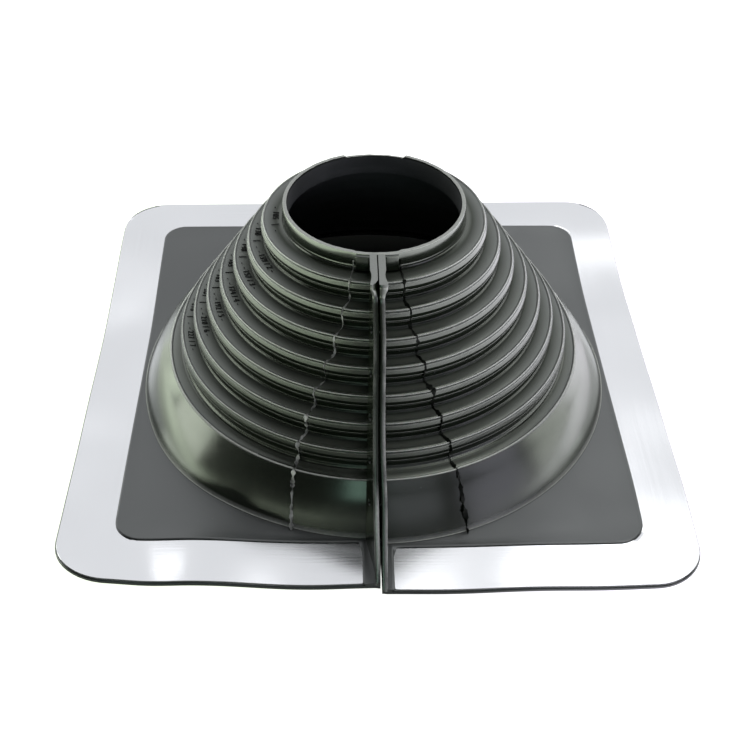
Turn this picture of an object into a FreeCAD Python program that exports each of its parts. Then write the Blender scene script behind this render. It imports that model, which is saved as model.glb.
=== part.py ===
import FreeCAD, Part
import math
import os

import Sketcher

# Split pipe flashing boot: a stepped rubber cone on a square flange, opened
# from rim to edge along a seam with two upright lips, and stiffened by a soft
# aluminium strip that is bent or dressed down onto the roof.
#
# Millimetres, +Z up. The origin is the middle of the flange's underside, on
# the cone's axis. The seam lies in the YZ plane, on the -Y side.

SIZES = {
    # Flange
    "flange_corner": 28.0,
    "sheet_thickness": 2.6,
    "panel_rise": 0.6,
    # Aluminium strip
    "strip_width": 29.5,
    "strip_thickness": 0.8,
    "strip_margin": 1.0,
    "strip_window_corner": 14.0,
    "strip_end_corner": 3.5,
    "strip_end_gap": 17.0,
    "strip_clearance": 0.1,
    "panel_overlap": 1.2,
    # Cone, from the collar outwards and down: each run and drop is one step
    "rim_radius": 52.5,
    "collar_height": 10.5,
    "collar_run": 12.5,
    "ring_run": 8.85,
    "ring_drop": 12.3,
    "skirt_run": 7.9,
    "skirt_drop": 13.2,
    "foot_run": 19.5,
    "skirt_height": 29.5,
    "foot_gap": 1.5,
    "cone_wall": 2.6,
    # Edge bead and ribs on each riser
    "bead_width": 1.6,
    "bead_rise": 0.5,
    "band_height": 8.0,
    "band_recess": 0.8,
    "groove_depth": 0.4,
    "groove_width": 1.0,
    "groove_drop": 3.4,
    # Seam
    "slit_width": 0.7,
    "lip_reach": 20.5,
    "lip_width": 2.4,
    "lip_root_width": 5.6,
    "lip_root_stand": 1.2,
    "lip_foot_rise": 0.7,
    "lip_bead_width": 3.1,
    "lip_bead_depth": 2.4,
    "lip_ear_width": 4.6,
    "lip_ear_length": 8.0,
    "lip_ear_depth": 5.0,
    "cheek_width": 8.0,
    "cheek_stand": 2.4,
    "cheek_drop": 1.2,
    "hole_diameter": 5.0,
    "hole_pitch": 23.3,
    "hole_start": 23.3,
    "hole_stand": 5.5,
    # Sealing grooves under the flange
    "seal_inset": 10.0,
    "seal_width": 2.0,
    "seal_depth": 0.8,
    "seal_pitch": 9.0,
}
RINGS = 7
HOLES = 5
SEALS = 2

doc = FreeCAD.newDocument("flashing_boot")
sheet = doc.addObject("Spreadsheet::Sheet", "Dims")
for row, (alias, number) in enumerate(SIZES.items(), start=1):
    sheet.set(f"A{row}", alias)
    sheet.set(f"B{row}", str(number))
    sheet.setAlias(f"B{row}", alias)
doc.recompute()


def dims(text):
    """Expression text with each size's name turned into its sheet cell."""
    words = []
    word = ""
    for letter in text + " ":
        if letter.isalnum() or letter == "_":
            word += letter
            continue
        words.append(f"Dims.{word}" if word in SIZES else word)
        words.append(letter)
        word = ""
    return "".join(words).strip()


def number(text):
    """The value that an expression has now."""
    return float(doc.Dims.evalExpression(dims(text)))


# ---- Sketch helpers --------------------------------------------------------

def origin_plane(body, role):
    """One of the body's own three planes."""
    return [item for item in body.Origin.OriginFeatures if item.Role == role][0]


def new_sketch(body, name, plane, offset=None, turn=None):
    """A sketch on one of the body's own origin planes, moved off it or turned in it."""
    sketch = body.newObject("Sketcher::SketchObject", name)
    sketch.AttachmentSupport = [(origin_plane(body, plane), "")]
    sketch.MapMode = "FlatFace"
    if offset:
        sketch.setExpression("AttachmentOffset.Base.z", dims(offset))
    if turn:
        sketch.setExpression("AttachmentOffset.Rotation.Angle", dims(turn))
    doc.recompute()
    return sketch


def pin(sketch, index, end, x, y):
    """Hold one end of a line at x, y by two named distances."""
    for kind, text in (("DistanceX", x), ("DistanceY", y)):
        row = sketch.addConstraint(Sketcher.Constraint(kind, -1, 1, index, end, number(text)))
        sketch.setExpression(f"Constraints[{row}]", dims(text))


def polygon(sketch, points):
    """A closed outline of straight lines through points given as expressions."""
    values = [FreeCAD.Vector(number(x), number(y), 0) for x, y in points]
    count = len(points)
    first = sketch.GeometryCount
    lines = [Part.LineSegment(values[i], values[(i + 1) % count]) for i in range(count)]
    sketch.addGeometry(lines, False)
    for i in range(count):
        after = first + (i + 1) % count
        sketch.addConstraint(Sketcher.Constraint("Coincident", first + i, 2, after, 1))
    for i, (x, y) in enumerate(points):
        pin(sketch, first + i, 1, x, y)


def rounded_square(sketch, half, corner):
    """A square of half-side `half` about the origin with round corners."""
    size = number(half)
    radius = number(corner)
    flat = size - radius
    first = sketch.GeometryCount
    inset = f"({half} - ({corner}))"
    for quarter in range(4):
        angle = quarter * math.pi / 2
        turn = FreeCAD.Rotation(FreeCAD.Vector(0, 0, 1), math.degrees(angle))
        start = turn.multVec(FreeCAD.Vector(size, -flat, 0))
        finish = turn.multVec(FreeCAD.Vector(size, flat, 0))
        centre = turn.multVec(FreeCAD.Vector(flat, flat, 0))
        sketch.addGeometry(Part.LineSegment(start, finish), False)
        circle = Part.Circle(centre, FreeCAD.Vector(0, 0, 1), radius)
        sketch.addGeometry(Part.ArcOfCircle(circle, angle, angle + math.pi / 2), False)
    for quarter in range(4):
        side = first + 2 * quarter
        arc = side + 1
        after = first + (2 * quarter + 2) % 8
        sketch.addConstraint(Sketcher.Constraint("Coincident", side, 2, arc, 1))
        sketch.addConstraint(Sketcher.Constraint("Coincident", arc, 2, after, 1))
        row = sketch.addConstraint(Sketcher.Constraint("Radius", arc, radius))
        sketch.setExpression(f"Constraints[{row}]", dims(corner))
    ends = (
        ((half, f"-{inset}"), (half, inset)),
        ((inset, half), (f"-{inset}", half)),
        ((f"-({half})", inset), (f"-({half})", f"-{inset}")),
        ((f"-{inset}", f"-({half})"), (inset, f"-({half})")),
    )
    for quarter, (start, finish) in enumerate(ends):
        pin(sketch, first + 2 * quarter, 1, *start)
        pin(sketch, first + 2 * quarter, 2, *finish)


def feature(body, kind, name, sketch, **settings):
    """A sketch-based feature; a text setting is an expression of the sizes."""
    result = body.newObject(kind, name)
    result.Profile = sketch
    for key, setting in settings.items():
        if isinstance(setting, str) and key.startswith("Length"):
            result.setExpression(key, dims(setting))
        else:
            setattr(result, key, setting)
    sketch.Visibility = False
    doc.recompute()
    return result


def pad(body, name, sketch, length, middle=False):
    return feature(body, "PartDesign::Pad", name, sketch, Length=length, Midplane=middle)


def turned(body, kind, name, sketch):
    """A full turn of the sketch about its own vertical axis."""
    axis = (sketch, ["V_Axis"])
    return feature(body, kind, name, sketch, ReferenceAxis=axis, Angle=360.0)


def must_cut(before, after, name):
    """Stop if a cutting feature took nothing away."""
    if after.Shape.Volume > before.Shape.Volume - 1.0:
        raise RuntimeError(f"{name} removed no material")


# ---- Levels and radii that several features share --------------------------

STRIP_TOP = "(sheet_thickness + strip_thickness)"
PANEL_TOP = f"({STRIP_TOP} + panel_rise)"
SKIRT_TOP = f"({PANEL_TOP} + skirt_height)"
FIRST_TREAD = f"({SKIRT_TOP} + skirt_drop + {RINGS - 1} * ring_drop)"
HEIGHT = f"({FIRST_TREAD} + collar_height)"

FIRST_RING = "(rim_radius + collar_run)"
SKIRT_RADIUS = f"({FIRST_RING} + {RINGS - 1} * ring_run + skirt_run)"
FOOT_RADIUS = f"({SKIRT_RADIUS} + foot_run)"
WINDOW = f"({FOOT_RADIUS} + foot_gap)"
STRIP_OUTER = f"({WINDOW} + strip_width)"
HALF_SIDE = f"({STRIP_OUTER} + strip_margin)"

LIP_END = "(rim_radius + lip_reach)"
LIP_FOOT = f"({PANEL_TOP} + lip_foot_rise)"


def ring_radius(ring):
    return f"({FIRST_RING} + {ring} * ring_run)"


def ring_level(ring):
    return f"({FIRST_TREAD} - {ring} * ring_drop)"


def free_edge(level):
    """Point of the lips' straight free edge at a level, in the YZ plane."""
    share = f"({HEIGHT} - {level}) / ({HEIGHT} - {LIP_FOOT})"
    return (f"-({LIP_END} + ({HALF_SIDE} - {LIP_END}) * {share})", level)


# ---- Rubber boot -----------------------------------------------------------

def edge_bead(radius, level):
    """Points of a tread's outer edge: a low bead and the corner below it."""
    return [
        (f"{radius} - bead_width", level),
        (f"{radius} - bead_width / 2", f"{level} + bead_rise"),
        (radius, f"{level} - bead_rise"),
    ]


def outer_profile():
    """Half section of the cone's outside, from the axis at the top downwards."""
    points = [("0", HEIGHT), ("rim_radius", HEIGHT)]
    inner = "rim_radius"
    for ring in range(RINGS):
        radius = ring_radius(ring)
        level = ring_level(ring)
        groove = f"{level} - groove_drop"
        points.append((inner, level))
        points.extend(edge_bead(radius, level))
        points.append((radius, groove))
        points.append((f"{radius} - groove_depth", f"{groove} - groove_width / 2"))
        points.append((radius, f"{groove} - groove_width"))
        points.append((radius, f"{level} - band_height"))
        inner = f"{radius} - band_recess"
        points.append((inner, f"{level} - band_height"))
    points.append((inner, SKIRT_TOP))
    points.extend(edge_bead(SKIRT_RADIUS, SKIRT_TOP))
    points.append((FOOT_RADIUS, PANEL_TOP))
    points.append((FOOT_RADIUS, "sheet_thickness / 2"))
    points.append(("0", "sheet_thickness / 2"))
    return points


def cavity_profile():
    """Half section of the hollow, one wall inside the outer steps."""
    inner = "rim_radius - cone_wall"
    points = [("0", f"{HEIGHT} + cone_wall"), (inner, f"{HEIGHT} + cone_wall")]
    for ring in range(RINGS):
        level = f"{ring_level(ring)} - cone_wall"
        points.append((inner, level))
        inner = f"{ring_radius(ring)} - cone_wall"
        points.append((inner, level))
    points.append((inner, f"{SKIRT_TOP} - cone_wall"))
    points.append((f"{SKIRT_RADIUS} - cone_wall", f"{SKIRT_TOP} - cone_wall"))
    points.append((f"{FOOT_RADIUS} - cone_wall", PANEL_TOP))
    points.append((f"{FOOT_RADIUS} - cone_wall", "-cone_wall"))
    points.append(("0", "-cone_wall"))
    return points


def add_seam_lips(body):
    """Blade, wedge-shaped roots, edge bead and ears of the two upright lips."""
    sketch = new_sketch(body, "lip_blade_sketch", "YZ_Plane")
    polygon(sketch, [
        ("0", "0"),
        (f"-{HALF_SIDE}", "0"),
        free_edge(LIP_FOOT),
        free_edge(HEIGHT),
        ("0", HEIGHT),
    ])
    pad(body, "lip_blade", sketch, "2 * lip_width", middle=True)

    edge = new_sketch(body, "lip_edge_sketch", "YZ_Plane", offset="lip_width")
    polygon(edge, [
        ("0", "0"),
        (f"-{HALF_SIDE}", "0"),
        free_edge(LIP_FOOT),
        free_edge(f"({LIP_FOOT} + lip_root_stand)"),
        free_edge(SKIRT_TOP),
        free_edge(HEIGHT),
        ("0", HEIGHT),
    ])
    root = new_sketch(body, "lip_root_sketch", "YZ_Plane", offset="lip_root_width")
    root_foot = f"{PANEL_TOP} + lip_foot_rise / 2"
    polygon(root, [
        ("0", "0"),
        (f"-{HALF_SIDE}", "0"),
        (f"-{HALF_SIDE}", root_foot),
        (f"-({FOOT_RADIUS} + lip_root_stand)", root_foot),
        (f"-({SKIRT_RADIUS} + lip_root_stand)", f"{SKIRT_TOP} + lip_root_stand"),
        (f"-({FIRST_RING} + lip_root_stand)", f"{FIRST_TREAD} + lip_root_stand"),
        ("0", f"{FIRST_TREAD} + lip_root_stand"),
    ])
    wedge = body.newObject("PartDesign::AdditiveLoft", "lip_root")
    wedge.Profile = edge
    wedge.Sections = [root]
    wedge.Ruled = True
    doc.recompute()
    twin = body.newObject("PartDesign::Mirrored", "lip_root_twin")
    twin.Originals = [wedge]
    twin.MirrorPlane = (origin_plane(body, "YZ_Plane"), [""])
    body.Tip = twin
    doc.recompute()

    sketch = new_sketch(body, "lip_bead_sketch", "YZ_Plane")
    polygon(sketch, [
        free_edge(LIP_FOOT),
        free_edge(HEIGHT),
        (f"-({LIP_END} - lip_bead_depth)", HEIGHT),
        (f"-{HALF_SIDE}", f"{LIP_FOOT} - lip_bead_depth"),
    ])
    pad(body, "lip_bead", sketch, "2 * lip_bead_width", middle=True)

    sketch = new_sketch(body, "lip_ear_sketch", "XY_Plane", offset=f"{HEIGHT} - lip_ear_depth")
    polygon(sketch, [
        ("-lip_width", f"-({LIP_END} - lip_ear_length)"),
        ("-lip_ear_width", f"-{LIP_END}"),
        ("lip_ear_width", f"-{LIP_END}"),
        ("lip_width", f"-({LIP_END} - lip_ear_length)"),
    ])
    pad(body, "lip_ears", sketch, "lip_ear_depth")


def add_cheeks(body):
    """Thickened pads on the collar, one each side of the lips."""
    sketch = new_sketch(body, "cheek_sketch", "XY_Plane", offset=FIRST_TREAD)
    front = "-(rim_radius + cheek_stand)"
    outer = "lip_root_width + cheek_width"
    polygon(sketch, [
        (f"-({outer})", front),
        (outer, front),
        (outer, "-rim_radius / 2"),
        (f"-({outer})", "-rim_radius / 2"),
    ])
    pad(body, "cheeks", sketch, "collar_height - cheek_drop")


def add_flange(body):
    """Square sheet, the raised panel in the strip's window and the seam tongue."""
    sketch = new_sketch(body, "sheet_sketch", "XY_Plane")
    rounded_square(sketch, HALF_SIDE, "flange_corner")
    pad(body, "flange_sheet", sketch, "sheet_thickness")

    sketch = new_sketch(body, "panel_sketch", "XY_Plane")
    rounded_square(sketch, f"{WINDOW} - strip_clearance", "strip_window_corner")
    pad(body, "panel", sketch, PANEL_TOP)

    sketch = new_sketch(body, "panel_edge_sketch", "XY_Plane", offset=STRIP_TOP)
    rounded_square(sketch, f"{WINDOW} + panel_overlap", "strip_window_corner + panel_overlap")
    pad(body, "panel_edge", sketch, "panel_rise")

    sketch = new_sketch(body, "tongue_sketch", "XY_Plane")
    side = "strip_end_gap / 2 - strip_clearance"
    polygon(sketch, [
        (f"-({side})", f"-{HALF_SIDE}"),
        (side, f"-{HALF_SIDE}"),
        (side, f"-{WINDOW} / 2"),
        (f"-({side})", f"-{WINDOW} / 2"),
    ])
    pad(body, "seam_tongue", sketch, PANEL_TOP)


def cut_slit(body):
    """Open the boot from rim to flange edge on the -Y side."""
    before = body.Tip
    sketch = new_sketch(body, "slit_sketch", "XY_Plane")
    polygon(sketch, [
        ("-slit_width / 2", f"-({HALF_SIDE} + slit_width)"),
        ("slit_width / 2", f"-({HALF_SIDE} + slit_width)"),
        ("slit_width / 2", "0"),
        ("-slit_width / 2", "0"),
    ])
    slit = feature(body, "PartDesign::Pocket", "slit", sketch, Type=1, Midplane=True)
    must_cut(before, slit, "slit")


def cut_lip_holes(body):
    """A row of holes for the closing fasteners, parallel to the line of ring tips."""
    before = body.Tip
    sketch = new_sketch(body, "lip_hole_sketch", "YZ_Plane", turn="atan2(-ring_drop; -ring_run)")
    slope = "sqrt(ring_run ^ 2 + ring_drop ^ 2)"
    along = f"({FIRST_RING} * ring_run - {FIRST_TREAD} * ring_drop) / {slope} + hole_start"
    across = f"-({FIRST_RING} * ring_drop + {FIRST_TREAD} * ring_run) / {slope} - hole_stand"
    centre = FreeCAD.Vector(number(along), number(across), 0)
    circle = Part.Circle(centre, FreeCAD.Vector(0, 0, 1), number("hole_diameter / 2"))
    sketch.addGeometry(circle, False)
    row = sketch.addConstraint(Sketcher.Constraint("Diameter", 0, number("hole_diameter")))
    sketch.setExpression(f"Constraints[{row}]", dims("hole_diameter"))
    pin(sketch, 0, 3, along, across)
    hole = feature(body, "PartDesign::Pocket", "lip_hole", sketch, Type=1, Midplane=True)
    must_cut(before, hole, "lip_hole")
    pattern = body.newObject("PartDesign::LinearPattern", "lip_holes")
    pattern.Originals = [hole]
    pattern.Direction = (sketch, ["H_Axis"])
    pattern.Occurrences = HOLES
    pattern.setExpression("Length", dims(f"hole_pitch * {HOLES - 1}"))
    body.Tip = pattern
    doc.recompute()
    must_cut(hole, pattern, "lip_holes")


def cut_seal_grooves(body):
    """Shallow square grooves under the strip that hold the sealant."""
    for seal in range(SEALS):
        before = body.Tip
        inset = f"seal_inset + {seal} * seal_pitch"
        sketch = new_sketch(body, f"seal_sketch_{seal + 1}", "XY_Plane")
        rounded_square(sketch, f"{HALF_SIDE} - ({inset})", f"flange_corner - ({inset}) / 2")
        rounded_square(sketch, f"{HALF_SIDE} - ({inset}) - seal_width",
                       f"flange_corner - ({inset}) / 2 - seal_width")
        groove = feature(body, "PartDesign::Pocket", f"seal_groove_{seal + 1}", sketch,
                         Length="seal_depth", Reversed=True)
        must_cut(before, groove, "seal groove")


def make_rubber_boot():
    body = doc.addObject("PartDesign::Body", "rubber_boot")
    body.Label = "rubber_boot"
    add_flange(body)
    add_seam_lips(body)
    add_cheeks(body)
    sketch = new_sketch(body, "cone_sketch", "XZ_Plane")
    polygon(sketch, outer_profile())
    turned(body, "PartDesign::Revolution", "cone", sketch)
    before = body.Tip
    sketch = new_sketch(body, "cavity_sketch", "XZ_Plane")
    polygon(sketch, cavity_profile())
    hollow = turned(body, "PartDesign::Groove", "cavity", sketch)
    must_cut(before, hollow, "cavity")
    cut_slit(body)
    cut_lip_holes(body)
    cut_seal_grooves(body)
    return body


# ---- Aluminium strip -------------------------------------------------------

def make_aluminium_frame():
    """One strip round the flange, open at the seam, under the panel's edge."""
    body = doc.addObject("PartDesign::Body", "aluminium_frame")
    body.Label = "aluminium_frame"
    body.setExpression("Placement.Base.z", dims("sheet_thickness"))
    sketch = new_sketch(body, "strip_sketch", "XY_Plane")
    rounded_square(sketch, STRIP_OUTER, "flange_corner - strip_margin")
    rounded_square(sketch, WINDOW, "strip_window_corner")
    strip = pad(body, "strip", sketch, "strip_thickness")
    sketch = new_sketch(body, "end_gap_sketch", "XY_Plane")
    polygon(sketch, [
        ("-strip_end_gap / 2", f"-({HALF_SIDE} + strip_margin)"),
        ("strip_end_gap / 2", f"-({HALF_SIDE} + strip_margin)"),
        ("strip_end_gap / 2", f"-{WINDOW} / 2"),
        ("-strip_end_gap / 2", f"-{WINDOW} / 2"),
    ])
    gap = feature(body, "PartDesign::Pocket", "end_gap", sketch, Type=1, Midplane=True)
    must_cut(strip, gap, "end_gap")
    ends = []
    half_gap = number("strip_end_gap / 2")
    for index, edge in enumerate(gap.Shape.Edges, start=1):
        a = edge.Vertexes[0].Point
        b = edge.Vertexes[-1].Point
        upright = abs(a.z - b.z) > 0.1
        if upright and abs(abs(a.x) - half_gap) < 0.01 and a.y < 0:
            ends.append(f"Edge{index}")
    rounding = body.newObject("PartDesign::Fillet", "end_rounding")
    rounding.Base = (gap, ends)
    rounding.setExpression("Radius", dims("strip_end_corner"))
    doc.recompute()
    return body


bodies = [make_rubber_boot(), make_aluminium_frame()]
doc.recompute()

for item in doc.Objects:
    if "Invalid" in item.State or "Error" in item.State:
        raise RuntimeError(f"{item.Name} failed: {item.State}")
for body in bodies:
    shape = body.Shape
    if shape.isNull() or not shape.isValid() or len(shape.Solids) != 1:
        raise RuntimeError(f"{body.Label} is not one valid solid")

os.makedirs("parts", exist_ok=True)
for body in bodies:
    body.Shape.exportStep(os.path.join("parts", body.Label + ".step"))
    print(body.Label, round(body.Shape.Volume / 1000, 1), "cm3", len(body.Shape.Faces), "faces")
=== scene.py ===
"""Split pipe flashing boot: a stepped rubber cone on a square flange with an aluminium strip."""

import math

import bmesh
import bpy
import numpy as np
from mathutils import Matrix, Vector


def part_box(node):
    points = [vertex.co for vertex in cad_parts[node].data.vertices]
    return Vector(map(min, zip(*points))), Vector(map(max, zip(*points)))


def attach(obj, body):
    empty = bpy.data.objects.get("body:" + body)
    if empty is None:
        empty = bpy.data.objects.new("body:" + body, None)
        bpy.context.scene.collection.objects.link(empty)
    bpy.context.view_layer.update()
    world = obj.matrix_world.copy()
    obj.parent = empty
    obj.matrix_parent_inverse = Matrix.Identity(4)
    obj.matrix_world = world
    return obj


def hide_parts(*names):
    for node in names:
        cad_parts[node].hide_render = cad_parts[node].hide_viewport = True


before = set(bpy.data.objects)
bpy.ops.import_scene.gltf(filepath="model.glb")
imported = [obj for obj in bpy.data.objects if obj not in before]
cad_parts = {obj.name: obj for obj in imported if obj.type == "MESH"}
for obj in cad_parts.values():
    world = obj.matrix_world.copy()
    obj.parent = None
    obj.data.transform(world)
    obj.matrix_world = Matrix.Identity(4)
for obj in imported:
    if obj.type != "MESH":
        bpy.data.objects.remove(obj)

bl_info = {
    "name": "Split Flashing Boot",
    "version": (1, 0, 0),
    "blender": (4, 5, 0),
    "location": "View3D > Sidebar > Boot",
    "description": "Builds a split rubber flashing boot for roof pipes around its packed CAD frame",
    "category": "Object",
}

MM = 0.001
TAU = 2 * math.pi
SEAM = -math.pi / 2            # angle of the seam about the boot's axis
SIDES = ((-1, "left"), (1, "right"))
BOX_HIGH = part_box("rubber_boot")[1]
STRIP_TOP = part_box("aluminium_frame")[1].z


def length(name, description, default):
    """A length in metres whose default is given in millimetres."""
    return bpy.props.FloatProperty(name=name, description=description, default=default * MM,
                                   unit="LENGTH", subtype="DISTANCE", precision=5)


def count(name, description, default):
    return bpy.props.IntProperty(name=name, description=description, default=default, min=1)


def colour(name, description, default):
    return bpy.props.FloatVectorProperty(name=name, description=description, default=default,
                                         size=3, subtype="COLOR", min=0, max=1)


class BootCone(bpy.types.PropertyGroup):
    """Sizes of the stepped cone"""
    rings: count("Rings", "Stepped rings down the cone", 7)
    height: length("Height", "Flange underside to rim", BOX_HIGH.z / MM)
    rim_radius: length("Rim Radius", "Outside of the collar", 52.5)
    collar_height: length("Collar Height", "Rim down to the first tread", 10.5)
    collar_run: length("Collar Run", "Collar out to the first ring", 12.5)
    ring_run: length("Ring Run", "Radius gained at each ring", 8.85)
    ring_drop: length("Ring Drop", "Height lost at each ring", 12.3)
    recess: length("Recess", "Setback of each riser's lower part", 0.8)
    skirt_run: length("Skirt Run", "Last ring out to the skirt's shoulder", 7.9)
    skirt_drop: length("Skirt Drop", "Last tread down to the skirt's shoulder", 13.2)
    foot_run: length("Foot Run", "Skirt's shoulder out to its foot", 19.5)
    wall: length("Wall", "Thickness of the rubber", 2.6)
    segments: count("Segments", "Steps round the cone", 232)


class BootFlange(bpy.types.PropertyGroup):
    """Sizes of the sheet, the panel and the strip"""
    sheet: length("Sheet", "Thickness of the rubber sheet", 2.6)
    panel: length("Panel Top", "Top of the raised panel", 4.0)
    window: length("Window", "Half side of the window in the strip", 147.0)
    window_corner: length("Window Corner", "Corner radius of the window", 14.0)
    corner: length("Corner", "Corner radius of the sheet", 28.0)
    margin: length("Margin", "Rubber left outside the strip", 1.0)
    strip_gap: length("Strip Gap", "Gap between the strip's ends", 17.0)
    right_tongue: length("Right Tongue", "How much narrower the tongue is right of the seam", 2.4)
    strip_end: length("Strip End", "Corner radius of the strip's ends", 2.2)
    wave: length("Wave", "Height of the sheet's waves", 0.9)


class BootSeam(bpy.types.PropertyGroup):
    """Sizes of the lips and their holes"""
    slit: length("Slit", "Gap between the lips", 0.7)
    reach: length("Reach", "Lips' reach past the rim", 21.5)
    lip: length("Lip", "Slit's middle to a lip's outer face", 2.9)
    root: length("Root", "Slit's middle to the root's outer face", 5.6)
    bead: length("Bead", "Slit's middle to the edge bead's outer face", 3.3)
    bead_depth: length("Bead Depth", "Depth of the bead along the free edge", 2.4)
    foot: length("Foot", "Top of the lips at the flange's edge", 4.7)
    holes: count("Holes", "Fastener holes in each lip", 5)
    hole: length("Hole", "Diameter of a fastener hole", 5.0)
    hole_pitch: length("Hole Pitch", "Distance between holes", 23.3)
    hole_stand: length("Hole Stand", "Holes' distance outside the ring tips", 5.5)


class BootLook(bpy.types.PropertyGroup):
    """Base colours"""
    rubber: colour("Rubber", "Base colour of the rubber", (0.0020, 0.0044, 0.0013))
    # The bloom grey also serves the cone's painted shade and painted light.
    rubber_bloom_and_painted_shading: colour("Rubber Bloom", "Greyer bloom on the rubber's flat faces",
                        (0.115, 0.118, 0.128))
    # This light grey is painted highlight on crests, riser lines, lip edges and torn flash, and
    # makes the rim and lip tops paler.
    rubber_pale_highlight: colour("Worn Edge", "Light grey of the worn beads", (0.55, 0.56, 0.54))
    metal: colour("Aluminium", "Base colour of the strip", (0.74, 0.75, 0.77))
    floor: colour("Floor", "Colour of the floor", (0.3, 0.3, 0.3))


# ---- Mesh helpers -----------------------------------------------------------

def add_object(name, mesh):
    obj = bpy.data.objects.new(name, mesh)
    bpy.context.scene.collection.objects.link(obj)
    return obj


def mesh_from(name, points, faces):
    mesh = bpy.data.meshes.new(name)
    mesh.from_pydata([tuple(p) for p in points], [], [tuple(f) for f in faces])
    mesh.validate()
    mesh.update()
    return mesh


def line_from(name, points):
    """A line mesh through the points in order."""
    mesh = bpy.data.meshes.new(name)
    mesh.from_pydata([tuple(p) for p in points], [(i, i + 1) for i in range(len(points) - 1)], [])
    mesh.update()
    return mesh


def get_points(mesh):
    points = np.empty(len(mesh.vertices) * 3)
    mesh.vertices.foreach_get("co", points)
    return points.reshape(-1, 3)


def set_points(mesh, points):
    mesh.vertices.foreach_set("co", points.astype(np.float32).ravel())
    mesh.update()


def store(mesh, **layers):
    """Keep per-point masks that the materials read."""
    for name, values in layers.items():
        layer = mesh.attributes.new(name, "FLOAT", "POINT")
        layer.data.foreach_set("value", values.astype(np.float32))


def face_out(mesh):
    """Weld doubles and turn all faces outwards."""
    work = bmesh.new()
    work.from_mesh(mesh)
    bmesh.ops.remove_doubles(work, verts=work.verts, dist=1e-6)
    bmesh.ops.recalc_face_normals(work, faces=work.faces)
    work.to_mesh(mesh)
    work.free()
    mesh.update()


def loft(name, rows):
    """Solid through matching closed sections: each row holds one section point at every station."""
    points = np.stack(rows, 0)               # section point, station, xyz
    count, stations = points.shape[:2]
    faces = []
    for s in range(stations - 1):
        for i in range(count):
            j = (i + 1) % count
            faces.append((s * count + i, s * count + j, (s + 1) * count + j, (s + 1) * count + i))
    faces.append(tuple(range(count)))
    faces.append(tuple((stations - 1) * count + i for i in reversed(range(count))))
    mesh = mesh_from(name, points.transpose(1, 0, 2).reshape(-1, 3), faces)
    face_out(mesh)
    return mesh


def finish_piece(mesh, slot, *nodes, material=None, sharp=None):
    """Smooth the piece, put it on the one body, and let it stand for CAD nodes."""
    if material:
        mesh.materials.append(material)
    if sharp:
        mesh.polygons.foreach_set("use_smooth", np.ones(len(mesh.polygons), bool))
        mesh.set_sharp_from_angle(angle=math.radians(sharp))
    obj = add_object(mesh.name, mesh)
    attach(obj, "root")
    if nodes:
        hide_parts(*nodes)


def smoothstep(value, low, high):
    share = np.clip((value - low) / (high - low), 0, 1)
    return share * share * (3 - 2 * share)


def between(value, low, on, off, high):
    """Fades in from low to on and out again from off to high."""
    return smoothstep(value, low, on) * (1 - smoothstep(value, off, high))


def flat(pairs):
    """Pairs of x and y as points in the XY plane."""
    return [(x, y, 0.0) for x, y in pairs]


def offsets(x, y, table):
    """Points at offsets in mm from a place in metres."""
    return [(x + across * MM, y + up * MM) for across, up in table]


# ---- Node helpers -----------------------------------------------------------

class Nodes:
    """A node tree under construction."""
    prefix = "ShaderNode"

    def __init__(self, tree):
        self.tree = tree

    def feed(self, socket, value):
        """Link the socket to another, to a node or to several, or give it a plain value."""
        if isinstance(value, bpy.types.NodeSocket):
            self.tree.links.new(value, socket)
        elif isinstance(value, bpy.types.Node):
            self.feed(socket, next(s for s in value.outputs if s.enabled))
        elif isinstance(value, list):
            for item in value:
                self.feed(socket, item)
        else:
            socket.default_value = value

    def fill(self, node, **inputs):
        """Feed a node's inputs, given by socket name or as _index."""
        for key, value in inputs.items():
            if key.startswith("_"):
                socket = node.inputs[int(key[1:])]
            else:
                name = key.replace("_", " ")
                socket = next(s for s in node.inputs if s.enabled and s.name == name)
            self.feed(socket, value)
        return node

    def node(self, kind, settings=None, **inputs):
        """A new node. The usual prefix of this sort of tree may be left out of its kind."""
        node = self.tree.nodes.new(kind if "Node" in kind else self.prefix + kind)
        for key, value in (settings or {}).items():
            setattr(node, key, value)
        return self.fill(node, **inputs)

    def math(self, operation, a, b=0.0, c=0.0):
        return self.node("ShaderNodeMath", {"operation": operation}, _0=a, _1=b, _2=c).outputs[0]

    def times(self, a, b):
        return self.math("MULTIPLY", a, b)

    def arrow(self, operation, a, b=(0.0, 0.0, 0.0), factor=1.0):
        """Vector arithmetic."""
        return self.node("ShaderNodeVectorMath", {"operation": operation}, _0=a, _1=b, _3=factor)

    def split(self, vector):
        """The x, y and z of a vector."""
        return self.node("ShaderNodeSeparateXYZ", _0=vector).outputs

    def stretch(self, value, low, high, to_low=0.0, to_high=1.0):
        return self.node("ShaderNodeMapRange", Value=value, From_Min=low, From_Max=high,
                         To_Min=to_low, To_Max=to_high).outputs[0]


SOCKETS = {
    float: "NodeSocketFloat",
    int: "NodeSocketInt",
    str: "NodeSocketString",
    bpy.types.Material: "NodeSocketMaterial",
    bpy.types.Object: "NodeSocketObject",
}


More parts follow.
